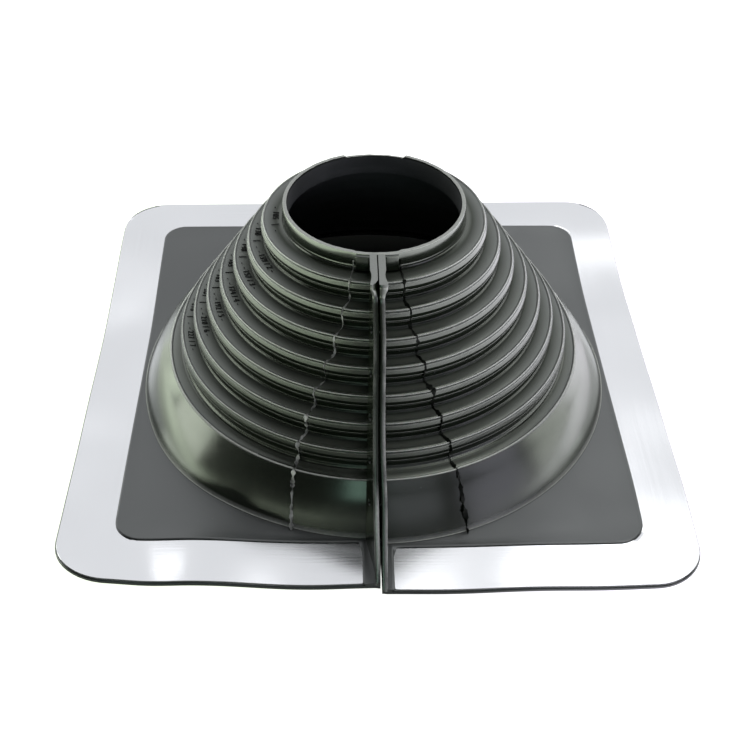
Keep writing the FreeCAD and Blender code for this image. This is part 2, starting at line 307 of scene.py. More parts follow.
class Tree(Nodes):
    """A Geometry Nodes tree with named inputs."""
    prefix = "GeometryNode"

    def __init__(self, name, **inputs):
        super().__init__(bpy.data.node_groups.new(name, "GeometryNodeTree"))
        self.values = {}
        face = self.tree.interface
        for way in ("INPUT", "OUTPUT"):
            face.new_socket("Geometry", in_out=way, socket_type="NodeSocketGeometry")
        for label, value in inputs.items():
            item = face.new_socket(label.replace("_", " ").title(), in_out="INPUT",
                                   socket_type=SOCKETS[type(value)])
            self.values[label] = (item.identifier, value)
        self.source = self.tree.nodes.new("NodeGroupInput")
        self.sink = self.tree.nodes.new("NodeGroupOutput")

    def __getitem__(self, label):
        """One of the tree's inputs."""
        return self.source.outputs[label]

    def vector(self, x=0.0, y=0.0, z=0.0):
        return self.node("ShaderNodeCombineXYZ", X=x, Y=y, Z=z)

    def noise(self, at, scale, seed, **inputs):
        """Noise at a place, with the seed as its fourth dimension."""
        return self.node("ShaderNodeTexNoise", {"noise_dimensions": "4D"}, Vector=at, Scale=scale,
                         W=seed, **inputs)

    def end(self, geometry, material):
        """Close the tree: instances made real and the material set."""
        real = self.node("RealizeInstances", Geometry=geometry)
        painted = self.node("SetMaterial", Geometry=real, Material=material)
        self.tree.links.new(painted.outputs[0], self.sink.inputs[0])

    def apply(self, name, mesh, **given):
        """Run the tree on a mesh and give back the result as a plain mesh."""
        carrier = add_object(name + "_carrier", mesh)
        modifier = carrier.modifiers.new(name, "NODES")
        modifier.node_group = self.tree
        for label, (identifier, value) in self.values.items():
            modifier[identifier] = given.get(label, value)
        carrier.update_tag()
        graph = bpy.context.evaluated_depsgraph_get()
        result = bpy.data.meshes.new_from_object(carrier.evaluated_get(graph))
        carrier.modifiers.remove(modifier)
        bpy.data.objects.remove(carrier)
        result.name = name
        return result


# ---- Shared shape rules -----------------------------------------------------

def first_level(cone):
    return cone.height - cone.collar_height


def ring_radius(cone, ring):
    return cone.rim_radius + cone.collar_run + ring * cone.ring_run


def ring_level(cone, ring):
    return first_level(cone) - ring * cone.ring_drop


def shoulder(cone):
    """Radius and level of the skirt's top edge."""
    last = cone.rings - 1
    return ring_radius(cone, last) + cone.skirt_run, ring_level(cone, last) - cone.skirt_drop


def foot_radius(cone):
    return shoulder(cone)[0] + cone.foot_run


# How high the parts of the limp sheet lift
BACK_LIFT, LEFT_LIFT, RIGHT_LIFT = 9.0 * MM, 7.0 * MM, 1.5 * MM
TIP_LIFT, FOLD_LIFT, LEFT_HALF_LIFT = 2.4 * MM, 1.2 * MM, 0.8 * MM
# How far they are drawn in as they lift
LEFT_HALF_PULL, BACK_WINDOW_PULL, LEFT_WINDOW_PULL = 3.4 * MM, 1.6 * MM, 1.5 * MM
LEFT_PULL, RIGHT_PULL, TIP_PULL = 2.6 * MM, 2.4 * MM, 0.6 * MM


def drape(points, cone, flange):
    """Lay the limp sheet: its back curls up, its front left corner lifts and the slit halves part.

    The skirt's lower edge and the lips' feet follow, and everything higher stays. Each part
    fades in over a zone that is given in metres from the axis."""
    x, y, z = points.T
    free = 1 - smoothstep(z, 0.006, shoulder(cone)[1])
    out = smoothstep(np.hypot(x, y), 0.142, 0.176)
    left = smoothstep(-x, 0.02, 0.175) * smoothstep(-y, 0.06, 0.178)
    right = smoothstep(x, 0.02, 0.175) * smoothstep(-y, 0.09, 0.178)
    left_half = smoothstep(-x, -0.0006, 0.0006) * smoothstep(-y, 0.09, 0.15)
    tip = smoothstep(-x - y, 0.285, 0.345)
    fold = between(x, -0.13, -0.1, -0.095, -0.03) * smoothstep(-y, 0.13, 0.15)
    left_window = between(-x, 0.12, 0.147, 0.15, 0.178)
    back_window = between(y, 0.12, 0.147, 0.15, 0.178)
    swell = np.sin(x * 74 + 0.9 * np.sin(y * 31) + 1.2) * smoothstep(-y, 0.12, 0.176)
    swell = swell + 0.6 * np.sin(y * 74 - x * 17 + 0.4) * smoothstep(np.abs(x), 0.13, 0.176)
    rise = BACK_LIFT * smoothstep(y - 0.1 * x, 0.045, 0.165) + LEFT_LIFT * left
    rise = rise + RIGHT_LIFT * right + TIP_LIFT * tip + FOLD_LIFT * fold
    rise = rise + LEFT_HALF_LIFT * left_half + flange.wave * out * (swell + 1) * 0.5
    z = z + free * rise
    y = y + free * (LEFT_HALF_PULL * left_half - BACK_WINDOW_PULL * back_window)
    x = x + free * (LEFT_PULL * left - RIGHT_PULL * right + LEFT_WINDOW_PULL * left_window
                    + TIP_PULL * tip)
    return np.stack([x, y, z], 1)


# ---- Profile of the cone, as offsets in mm that run outwards and up ---------

# Ring step, from the inner corner out and down, measured from the ring's outer edge
TREAD_AND_BEAD = ((-3.0, 0.0), (-2.7, -0.05), (-2.45, -0.2), (-2.2, -0.15), (-1.95, 0.12),
                  (-1.72, 0.44), (-1.45, 0.58), (-1.18, 0.5), (-1.02, 0.15), (-0.95, -0.12),
                  (-0.86, -0.2), (-0.72, -0.26), (-0.6, -0.44), (-0.5, -0.8), (-0.4, -1.2),
                  (0.06, -2.9), (0.1, -3.15), (0.04, -3.4), (-0.16, -3.6))
BAND_AND_RECESS = ((-0.24, -3.8), (-0.42, -4.1), (-0.74, -5.9), (-0.66, -6.05), (-0.68, -6.2),
                   (-0.84, -6.35), (-0.98, -7.15), (-0.92, -7.3), (-0.94, -7.45), (-1.08, -7.6),
                   (-1.22, -8.0), (-1.3, -8.5), (-1.3, -10.3), (-1.14, -10.5), (-1.1, -10.7),
                   (-1.16, -10.9), (-0.96, -11.25))
CORNER_LEAD = 0.9              # start of a tread beyond its inner corner
RING_FILLET = ((0, 0.9), (0.28, 0.3), (CORNER_LEAD, 0))
# Bore's faint rings and the rim's inner edge, from the bore at the rim
BORE_RINGS = [(-0.16 * (depth % 2), -depth) for depth in range(9, 1, -1)]
RIM_INSIDE = ((0, -0.3), (0.08, -0.06), (0.3, 0))
# Collar's outside from the rim down, and from the first tread up
COLLAR = ((-0.7, 0), (-0.48, -0.06), (-0.4, -0.3), (-0.16, -1.6), (0, -3.2), (0.02, -4.6))
COLLAR_FOOT = ((0, 2.8), (0, 2.4), (0.22, 2.1), (0.22, 1.7), (0, 1.4), (0.1, 0.7), (0.5, 0.15),
               (1.2, 0))
# Skirt's shoulder from its inner corner, then its bead from its edge, and its foot
SHOULDER_FILLET = ((1.6, 0.3), (2.6, 0))
SHOULDER_BEAD = ((-2.4, 0), (-2.1, -0.2), (-1.7, 0.15), (-1.2, 0.45), (-0.7, 0.35), (-0.3, -0.05),
                 (0.1, -0.7))
FOOT_BEAD = ((-0.25, 0.5), (0.1, 0.42), (0.35, 0.05))
SKIRT_BULGE = 0.9 * MM


def ring_step(cone):
    """One ring: tread, bead, ribbed band and recess, ending at the next inner corner."""
    return (offsets(-(cone.ring_run + cone.recess), 0.0, ((CORNER_LEAD, 0),))
            + offsets(0.0, 0.0, TREAD_AND_BEAD + BAND_AND_RECESS)
            + offsets(-cone.recess, -cone.ring_drop, RING_FILLET))


def head_points(cone):
    """Rim and collar, from the inside over the top and down to the first ring's corner."""
    top, rim, tread = cone.height, cone.rim_radius, first_level(cone)
    return (offsets(rim - cone.wall, top, (*BORE_RINGS, *RIM_INSIDE)) + offsets(rim, top, COLLAR)
            + offsets(rim, tread, COLLAR_FOOT)
            + offsets(ring_radius(cone, -1) - cone.recess, tread, ((CORNER_LEAD, 0),)))


def foot_points(cone, flange):
    """Skirt from the last ring's corner to its foot, then back up the inside to the bore."""
    edge, level = shoulder(cone)
    foot = foot_radius(cone)
    last = cone.rings - 1
    corner = ring_radius(cone, last) - cone.recess
    points = offsets(corner, ring_level(cone, last + 1), ((CORNER_LEAD, 0),))
    points += offsets(corner, level, SHOULDER_FILLET) + offsets(edge, level, SHOULDER_BEAD)
    for share in (0.2, 0.45, 0.7, 0.9):
        bulge = SKIRT_BULGE * math.sin(share * math.pi)
        points.append((edge + share * (foot - edge) + bulge,
                       level + share * (flange.panel - level) + bulge * 0.6))
    points += offsets(foot, flange.panel, FOOT_BEAD)
    inner = corner + cone.recess - cone.wall
    points += [(foot + 0.5 * MM, flange.sheet * 0.5), (foot - cone.wall, 0.0),
               (foot - cone.wall, flange.panel), (edge - cone.wall, level - cone.wall),
               (inner, level - cone.wall)]
    for ring in range(last, -1, -1):
        lower = ring_level(cone, ring) - cone.wall
        points.append((inner, lower))
        inner = (ring_radius(cone, ring - 1) if ring else cone.rim_radius) - cone.wall
        points.append((inner, lower))
    return points


# ---- Materials --------------------------------------------------------------

def made_once(kind, name):
    """Builds the named material or node group at its first use and finds it by name after that."""
    def wrap(build):
        return lambda: getattr(bpy.data, kind).get(name) or build(name)
    return wrap


class Shading(Nodes):
    """A shader tree under construction."""

    def here(self):
        """Place on the piece, in object coordinates."""
        return self.node("TexCoord").outputs["Object"]

    def stored(self, name):
        """A mask that is kept on the piece's points."""
        return self.node("Attribute", {"attribute_name": name}).outputs["Fac"]

    def group(self, tree, **inputs):
        return self.node("Group", {"node_tree": tree}, **inputs).outputs

    def upward(self, low, high, most=1.0):
        return self.group(facing_group(), Low=low, High=high, Most=most)[0]

    def mix(self, factor, a, b):
        """Mix of two colours, each given plainly or as a socket."""
        a, b = (c if isinstance(c, bpy.types.NodeSocket) else (*c[:3], 1.0) for c in (a, b))
        node = self.node("Mix", {"data_type": "RGBA"}, _0=factor, _6=a, _7=b)
        return node.outputs[2]

    def bump(self, strength, depth, height):
        return self.node("Bump", Strength=strength, Distance=depth, Height=height)


class Finish(Shading):
    """A material with one Principled shader."""

    def __init__(self, name):
        self.material = bpy.data.materials.new(name)
        self.material.use_nodes = True
        super().__init__(self.material.node_tree)
        self.tree.nodes.clear()
        self.shader = self.node("BsdfPrincipled")
        self.node("OutputMaterial", Surface=self.shader)

    def end(self, **inputs):
        self.fill(self.shader, **inputs)
        return self.material


class Effect(Shading):
    """A shader node group with float inputs of the given values and float outputs."""

    def __init__(self, name, values, outputs):
        super().__init__(bpy.data.node_groups.new(name, "ShaderNodeTree"))
        sockets = [(label, "INPUT") for label in values] + [(label, "OUTPUT") for label in outputs]
        for label, way in sockets:
            item = self.tree.interface.new_socket(label, in_out=way, socket_type="NodeSocketFloat")
            if way == "INPUT":
                item.default_value = values[label]
        self.source = self.node("NodeGroupInput").outputs
        self.sink = self.node("NodeGroupOutput").inputs

    def end(self, *results):
        for socket, result in zip(self.sink, results):
            self.feed(socket, result)
        return self.tree


@made_once("node_groups", "surface_mottle")
def mottle_group(name):
    """Soft mottling and grain in object space: a mask, a fine grain value and a bump height."""
    effect = Effect(name, {"Coarse Scale": 30.0, "Grain Scale": 900.0},
                    ("Mottle", "Grain", "Height"))
    coarse, grain = (effect.node("TexNoise", Vector=effect.here(), Scale=effect.source[i],
                                 Detail=detail).outputs[0] for i, detail in ((0, 4.0), (1, 2.0)))
    spread = effect.stretch(coarse, 0.35, 0.65)
    return effect.end(spread, grain, effect.math("MULTIPLY_ADD", grain, 0.35, spread))


@made_once("node_groups", "facing_up")
def facing_group(name):
    """0 to 1 as a face turns to look straight up."""
    effect = Effect(name, {"Low": 0.72, "High": 0.985, "Most": 1.0}, ("Mask",))
    up = effect.split(effect.node("NewGeometry").outputs["Normal"])[2]
    return effect.end(effect.stretch(up, effect.source[0], effect.source[1], 0.0, effect.source[2]))


@made_once("node_groups", "dust_specks")
def speck_group(name):
    """Sparse dust specks: a thin mask of small round spots."""
    effect = Effect(name, {"Scale": 260.0, "Bare Share": 0.9}, ("Mask",))
    cells = effect.node("TexVoronoi", Vector=effect.here(), Scale=effect.source[0]).outputs
    small = effect.stretch(cells["Distance"], 0.10, 0.04)
    pick = effect.node("SeparateColor", _0=cells["Color"]).outputs[0]
    return effect.end(effect.times(small, effect.math("GREATER_THAN", pick, effect.source[1])))


CONE_TINT = (0.92, 1.0, 0.88, 1)
SHEET_TINT = (0.96, 1.0, 1.0, 1)
MARK_LEAN, MARK_COUNT = 14.0, 540.0      # tool marks: turn for each metre of height, marks a radian


def rubber(name, masks, grain=900.0, tool_marks=False, tint=CONE_TINT, dull=0.18):
    """Semi-gloss black rubber, greyer and duller where it has bloomed, with painted shade and
    painted light in the same mask, and pale where a painted highlight lies.
    """
    look = bpy.context.scene.boot_look
    finish = Finish(name)
    mottle, fine, height = finish.group(mottle_group(), Grain_Scale=grain)
    bloom, edge = masks(finish)
    # On the cone the bloom mask also holds painted shade and painted light.
    uneven = finish.times(bloom, finish.stretch(mottle, 0.0, 1.0, 0.7, 1.0))
    specks = finish.group(speck_group(), Scale=260.0, Bare_Share=0.9)[0]
    dusty = finish.math("MAXIMUM", uneven, finish.times(specks, 0.8))
    # The edge mask holds painted highlights and the paler tops.
    worn = finish.times(edge, finish.stretch(fine, 0.3, 0.7, 0.75, 1.0))
    rough = finish.stretch(mottle, 0.0, 1.0, dull, dull + 0.07)
    for mask, more in ((bloom, 0.22), (finish.stored("soot"), 0.5)):
        rough = finish.math("MULTIPLY_ADD", mask, more, rough)
    if tool_marks:
        x, y, z = finish.split(finish.here())
        lean = finish.math("MULTIPLY_ADD", z, MARK_LEAN, finish.math("ARCTAN2", y, x))
        ridges = finish.math("SINE", finish.times(lean, MARK_COUNT))
        height = finish.math("MULTIPLY_ADD", ridges, 0.45, height)
    tone = finish.mix(dusty, look.rubber, look.rubber_bloom_and_painted_shading)
    return finish.end(
        Base_Color=finish.mix(worn, tone, look.rubber_pale_highlight), Roughness=rough, IOR=1.6,
        Specular_Tint=tint, Specular_IOR_Level=0.7 if tool_marks else 0.95,
        Normal=finish.bump(0.13 if tool_marks else 0.08, 0.4 * MM, height))


def painted(finish):
    """Bloom with painted shade and painted light, and painted highlights, as kept on the piece's
    points.
    """
    return finish.stored("bloom"), finish.stored("edge")


@made_once("materials", "moulded_rubber")
def sheet_rubber(name):
    """Rubber of the sheet and panel, dusty wherever it faces up."""
    return rubber(name, lambda finish: (finish.upward(0.72, 0.985, 0.3), 0.0), tint=SHEET_TINT,
                  dull=0.26)


@made_once("materials", "cone_rubber")
def cone_rubber(name):
    """Rubber of the cone: dusty outer treads with painted shade and painted light, and beads with
    painted highlights.
    """
    return rubber(name, painted)


@made_once("materials", "ribbed_rubber")
def riser_rubber(name):
    """Rubber of the ribbed risers with fine leaning tool marks."""
    return rubber(name, painted, grain=700.0, tool_marks=True)


@made_once("materials", "lip_rubber")
def lip_rubber(name):
    """Rubber of the lips and cheeks: bare sides, dusty tops, and edges with painted highlights."""
    return rubber(name, lambda finish: (finish.upward(0.9, 0.99), finish.stored("edge")))


@made_once("materials", "mark_rubber")
def mark_rubber(name):
    """Bare dark rubber of the raised size marks."""
    base = bpy.context.scene.boot_look.rubber
    finish = Finish(name)
    mottle, fine, _ = finish.group(mottle_group())
    return finish.end(Base_Color=finish.mix(mottle, base, [0.5 * c for c in base]),
                      Roughness=finish.stretch(fine, 0.3, 0.7, 0.5, 0.7), Specular_IOR_Level=0.2)


@made_once("materials", "torn_rubber")
def torn_rubber(name):
    """Torn flash: pale patches of painted highlight where the fin catches light, dark between."""
    look = bpy.context.scene.boot_look
    finish = Finish(name)
    mottle, fine, _ = finish.group(mottle_group(), Coarse_Scale=240.0)
    # Painted highlight: the pale grey mottles stand in for light caught by the fin.
    return finish.end(Base_Color=finish.mix(mottle, look.rubber, look.rubber_pale_highlight),
                      Roughness=finish.stretch(fine, 0.3, 0.7, 0.35, 0.55))


@made_once("materials", "satin_aluminium")
def satin_aluminium(name):
    """Rolled aluminium: satin, with faint streaks along the strip."""
    metal = bpy.context.scene.boot_look.metal
    finish = Finish(name)
    mottle, _, height = finish.group(mottle_group(), Coarse_Scale=14.0, Grain_Scale=1500.0)
    spot = finish.here()
    x, y = (finish.math("ABSOLUTE", part) for part in finish.split(spot)[:2])
    side = finish.math("GREATER_THAN", finish.math("SUBTRACT", x, y), 0.0)
    front, flank = (
        finish.node("TexNoise", Scale=1.0, Detail=3.0,
                    Vector=finish.node("Mapping", Vector=spot, Scale=scale)).outputs[0]
        for scale in ((6.0, 900.0, 6.0), (900.0, 6.0, 6.0)))
    streak = finish.times(front, finish.math("SUBTRACT", 1.0, side))
    streak = finish.math("MULTIPLY_ADD", flank, side, streak)
    darker = [0.94 * c for c in metal]
    height = finish.math("MULTIPLY_ADD", streak, 1.4, height)
    return finish.end(Base_Color=finish.mix(finish.times(mottle, streak), metal, darker),
                      Roughness=finish.stretch(streak, 0.3, 0.7, 0.15, 0.2), Metallic=1.0,
                      Normal=finish.bump(0.025, 0.3 * MM, height))


# ---- Cone -------------------------------------------------------------------

SWEEP = 0.1                    # radius of the helper arc that carries the profile
CONE_GAP = 0.0125              # half angle left open at the seam, hidden between the lips


def cone_tree(step):
    """Repeats the ring step, joins it to the incoming line and sweeps the whole round the axis."""
    tree = Tree("ring_cone", rings=7, ring_run=0.0, ring_drop=0.0, first_radius=0.0,
                first_level=0.0, segments=64, step=step, material=cone_rubber())
    start = tree.vector(tree["First Radius"], tree["First Level"])
    offset = tree.vector(tree["Ring Run"], tree.times(tree["Ring Drop"], -1.0))
    row = tree.node("MeshLine", Count=tree["Rings"], Start_Location=start, Offset=offset)
    step = tree.node("ObjectInfo", Object=tree["Step"])
    rings = tree.node("InstanceOnPoints", Points=row, Instance=step.outputs["Geometry"])
    rings = tree.node("RealizeInstances", Geometry=rings)
    line = tree.node("JoinGeometry", Geometry=[rings, tree["Geometry"]])
    line = tree.node("MergeByDistance", Geometry=line, Distance=1e-5)
    line = tree.node("MeshToCurve", Mesh=line)
    line = tree.node("Transform", Geometry=line, Translation=(-SWEEP, 0, 0), Scale=(1, -1, 1))
    arc = tree.node("CurveArc", Resolution=tree["Segments"], Radius=SWEEP,
                    Start_Angle=SEAM + CONE_GAP, Sweep_Angle=TAU - 2 * CONE_GAP)
    swept = tree.node("CurveToMesh", Curve=arc, Profile_Curve=line, Fill_Caps=True)
    tree.end(swept, tree["Material"])
    return tree


# Angle from the seam to the mould's parting lines, by radius, left and right
PARTING_RADII = (0.0525, 0.065, 0.0827, 0.1004, 0.1181, 0.126, 0.145)
PARTING_ANGLES = {-1: (0.245, 0.236, 0.292, 0.357, 0.385, 0.378, 0.341),
                  1: (0.236, 0.22, 0.26, 0.304, 0.341, 0.348, 0.342)}
MISMATCH_OUT, MISMATCH_DOWN = 0.3 * MM, 0.28 * MM      # step at the parting lines
LIMP_OUT, LIMP_UP = 0.35 * MM, 0.3 * MM                # unevenness of the wall
NICK_FADE = (math.pi - 0.36, math.pi - 0.35)           # worn place at the back of the rim


def parting_angle(radius, side):
    """Angle from the seam to a parting line at a radius."""
    return np.interp(radius, PARTING_RADII, PARTING_ANGLES[side])


def weather_cone(points, cone):
    """Small real faults: mould mismatch at the parting lines and a slightly limp, uneven wall."""
    x, y, z = points.T
    radius = np.hypot(x, y)
    angle = np.arctan2(x, -y)
    edge = np.where(angle < 0, parting_angle(radius, -1), parting_angle(radius, 1))
    inside = 1 - smoothstep(np.abs(angle) - edge, -0.012, 0.012)
    upper = smoothstep(z, 0.012, 0.03)
    radius = radius + upper * inside * MISMATCH_OUT
    z = z - upper * inside * MISMATCH_DOWN
    radius = radius + upper * LIMP_OUT * np.sin(3 * angle + 0.7) * smoothstep(z, 0.02, 0.1)
    z = z + upper * LIMP_UP * np.sin(2 * angle + 1.1) * smoothstep(z, 0.03, 0.12)
    top = smoothstep(z, cone.height - 0.0012, cone.height - 0.0002)
    z = z + top * 0.1 * MM * np.sin(angle * 41) * np.sin(angle * 13 + 1)
    behind = smoothstep(np.abs(angle + 0.02), *NICK_FADE)
    outer = smoothstep(radius, cone.rim_radius - 1.2 * MM, cone.rim_radius - 0.8 * MM)
    z = z - behind * top * 1.1 * MM
    radius = radius - behind * outer * smoothstep(z, cone.height - 0.004, cone.height - 0.002) * MM
    return np.stack([radius * np.sin(angle), -radius * np.cos(angle), z], 1)


# Thin lines on a riser: depth below its tread in mm and how strong a painted highlight each gets
BAND_LINES = ((6.1, 0.3), (7.35, 0.22), (10.8, 0.16))
# Strength of the painted highlights on crests, the round lines below them and the skirt's foot, and
# how pale the rim top is
CREST_HIGHLIGHT, SECOND_HIGHLIGHT, RIM_PALE, FOOT_HIGHLIGHT = 1.0, 0.2, 0.75, 0.55
# Bloom given to the faces inside the cone as painted light.
INNER_PAINTED_LIGHT = 0.9


def paint_cone(mesh, cone, flange):
    """Keep where the rubber is dusty and sooty, where painted shade and painted light change its
    bloom, and where painted highlights lie, and give the risers their material.
    """
    x, y, z = get_points(mesh).T
    radius = np.hypot(x, y)
    bloom, edge, soot = np.zeros((3, len(x)))
    # Painted shade: the treads' bloom fades out towards the front of the cone, so the front treads
    # read dark.
    front_painted_shade = 0.05 + 0.95 * smoothstep(np.abs(np.arctan2(x, -y)), 0.3, 1.15)
    steps = [(ring_radius(cone, ring), ring_level(cone, ring)) for ring in range(cone.rings)]
    steps.append(shoulder(cone))
    for ring, (lip, level) in enumerate(steps):
        run = lip - (ring_radius(cone, ring - 1) - cone.recess)
        on = np.abs(z - level) < 0.62 * MM
        on &= (radius > lip - run - 0.1 * MM) & (radius < lip + 0.3 * MM)
        share = (radius[on] - lip + run) / run
        # Painted shade: bloom also fades out towards each tread's inner corner.
        bloom[on] = smoothstep(share, 0.12, 0.7) * front_painted_shade[on]
        soot[on] = 1 - smoothstep(share, 0.05, 0.5)
        # Painted highlight on each crest, and a weaker one on the round line below it.
        edge[on & (z > level + 0.3 * MM) & (radius > lip - 1.8 * MM)] = CREST_HIGHLIGHT
        if ring < cone.rings:
            near = (radius > lip - 0.6 * MM) & (radius < lip + 0.1 * MM)
            edge[near & (np.abs(z - level + 0.6 * MM) < 0.5 * MM)] = SECOND_HIGHLIGHT
        # Painted highlights along the thin lines of each riser.
        for down, worn in BAND_LINES:
            near = (radius > lip - 0.7 * MM) & (radius < lip)
            edge[near & (np.abs(z - level + down * MM) < 0.2 * MM)] = worn
    # The rim's top is made paler.
    edge[(z > cone.height - 0.3 * MM) & (radius > cone.rim_radius - cone.wall)] = RIM_PALE
    foot = foot_radius(cone)
    # Painted highlight along the skirt's foot bead.
    edge[(np.abs(radius - foot) < 0.4 * MM) & (z > flange.panel + 0.3 * MM)] = FOOT_HIGHLIGHT
    # Painted light: faces more than 1 mm inside the cone's outer surface get a strong bloom, so the
    # bore reads lighter.
    reach = radius + 0.9 * cone.wall
    over = np.interp(reach, (steps[-1][0], foot), (steps[-1][1], flange.panel))
    for lip, level in (*reversed(steps[:-1]), (cone.rim_radius, cone.height)):
        over = np.where(reach < lip, level, over)
    bloom[z < over - 1.0 * MM] = INNER_PAINTED_LIGHT
    store(mesh, bloom=bloom, edge=edge, soot=soot)
    mesh.materials.append(riser_rubber())
    for face in mesh.polygons:
        x, y, z = face.center
        ring = math.floor((first_level(cone) - z) / cone.ring_drop)
        below = first_level(cone) - ring * cone.ring_drop - z
        outer = math.hypot(x, y) > ring_radius(cone, ring) - 1.5 * MM
        if 0 <= ring < cone.rings and outer and below > 0.22 * MM and abs(face.normal.z) < 0.98:
            face.material_index = 1


class BOOT_OT_cone(bpy.types.Operator):
    """Stepped ribbed cone with its collar and skirt"""
    bl_idname = "boot.cone"
    bl_label = "Cone"

    def execute(self, context):
        cone, flange = context.scene.boot_cone, context.scene.boot_flange
        step = add_object("ring_step_carrier", line_from("ring_step", flat(ring_step(cone))))
        line = line_from("cone_line", flat(foot_points(cone, flange) + head_points(cone)))
        mesh = cone_tree(step).apply(
            "rubber_cone", line, rings=cone.rings, ring_run=cone.ring_run, ring_drop=cone.ring_drop,
            first_radius=ring_radius(cone, 0), first_level=first_level(cone),
            segments=cone.segments)
        bpy.data.objects.remove(step)
        face_out(mesh)
        paint_cone(mesh, cone, flange)
        set_points(mesh, drape(weather_cone(get_points(mesh), cone), cone, flange))
        finish_piece(mesh, "rubber", "rubber_boot", sharp=38)
        return {"FINISHED"}


# ---- Flange and strip -------------------------------------------------------

def square_reach(angle, half, corner):
    """Distance from the middle to a round-cornered square's edge, by angle."""
    c, s = np.abs(np.cos(angle)), np.abs(np.sin(angle))
    straight = half / np.maximum(c, s)
    flat_half = half - corner
    along = flat_half * (c + s)
    turned = along + np.sqrt(np.maximum(along ** 2 - 2 * flat_half ** 2 + corner ** 2, 0))
    return np.where(straight * np.minimum(c, s) > flat_half, turned, straight)


def ring_loft(name, angles, rows):
    """Solid round the axis through rows of distance and height."""
    return loft(name, [np.stack([reach * np.cos(angles), reach * np.sin(angles), z + 0 * angles], 1)
                       for reach, z in rows])


SLIT_HALF_ANGLE = 0.0022       # left open in the flange at the seam
FLANGE_STEPS = 420


def flange_angles(extra=()):
    """Angles round the flange from one side of the slit to the other."""
    around = SEAM + np.linspace(SLIT_HALF_ANGLE, TAU - SLIT_HALF_ANGLE, FLANGE_STEPS)
    return np.array(sorted([*around, *(SEAM + angle for angle in extra)]))


# Edges as distance in from the edge and height, in mm: the sheet's, down from its top, then each
# sealant groove's, up from the underside, and the panel's, out from the window and up from its top
SHEET_EDGE = ((2.0, 0.0), (1.0, 0.05), (0.4, 0.3), (0.05, 0.9), (0.0, 1.6), (0.3, 2.4), (0.8, 2.6))
GROOVE = ((-0.6, 0.0), (0.0, 0.75), (1.8, 0.75), (2.4, 0.0))
GROOVE_INSETS = (10.0, 19.0)
PANEL_EDGE = ((-1.2, 0.0), (-0.5, 0.12), (0.2, 0.2), (0.8, 0.1), (1.15, -0.15), (1.2, -0.55),
              (0.0, -0.57))
UNDER_SKIRT = 1.5 * MM         # how far sheet and panel run in under the skirt's foot


def lay_sheet(mesh, cone, flange, *nodes):
    """Drape a flat rubber piece of the flange and finish it."""
    set_points(mesh, drape(get_points(mesh), cone, flange))
    finish_piece(mesh, "rubber", *nodes, material=sheet_rubber(), sharp=40)


class BOOT_OT_flange(bpy.types.Operator):
    """Square rubber sheet with its sealant grooves and the raised panel"""
    bl_idname = "boot.flange"
    bl_label = "Flange"

    def execute(self, context):
        cone, flange = context.scene.boot_cone, context.scene.boot_flange
        half = BOX_HIGH.x
        inner = foot_radius(cone) - UNDER_SKIRT
        angles = flange_angles()

        def edge(inset):
            return square_reach(angles, half - inset, max(flange.corner - inset * 0.6, 1.0 * MM))

        top = flange.sheet
        rows = [(inner + 0 * angles, 0.0), (inner + 0 * angles, top)]
        rows += [(inner + (edge(0.004) - inner) * share, top) for share in (0.25, 0.5, 0.75)]
        rows += [(edge(inset * MM), top - low * MM) for inset, low in SHEET_EDGE]
        rows += [(edge((start + inset) * MM), up * MM)
                 for start in GROOVE_INSETS for inset, up in GROOVE]
        lay_sheet(ring_loft("flange_sheet", angles, rows), cone, flange, "rubber_boot")

        tongue = flange.strip_gap / 2
        turns = []
        for side, reach in ((1, tongue - flange.right_tongue), (-1, tongue)):
            turn_in, turn_out = math.atan2(reach, flange.window), math.atan2(reach, half)
            turns += [(side * (turn_out + (turn_in - turn_out) * share)) % TAU
                      for share in (0, 0.25, 0.5, 0.75, 1)]
        angles = flange_angles(turns)
        off_seam = np.abs(np.arctan2(np.cos(angles), -np.sin(angles)))

        def panel(over):
            wide = square_reach(angles, flange.window + over, flange.window_corner + over)
            reach = tongue + over - flange.right_tongue * (np.cos(angles) > 0)
            along = np.minimum((half - 0.3 * MM) / np.cos(np.minimum(off_seam, 1.0)),
                               reach / np.maximum(np.sin(off_seam), 1e-6))
            return np.where(off_seam < 0.2, np.maximum(wide, along), wide)

        low, z = flange.sheet * 0.8, flange.panel
        rows = [(inner + 0 * angles, low), (inner + 0 * angles, z)]
        rows += [(inner + (panel(-1.5 * MM) - inner) * share, z) for share in (0.35, 0.7)]
        rows += [(panel(over * MM), z + up * MM) for over, up in PANEL_EDGE]
        rows.append((panel(-0.1 * MM), low))
        lay_sheet(ring_loft("flange_panel", angles, rows), cone, flange)
        return {"FINISHED"}


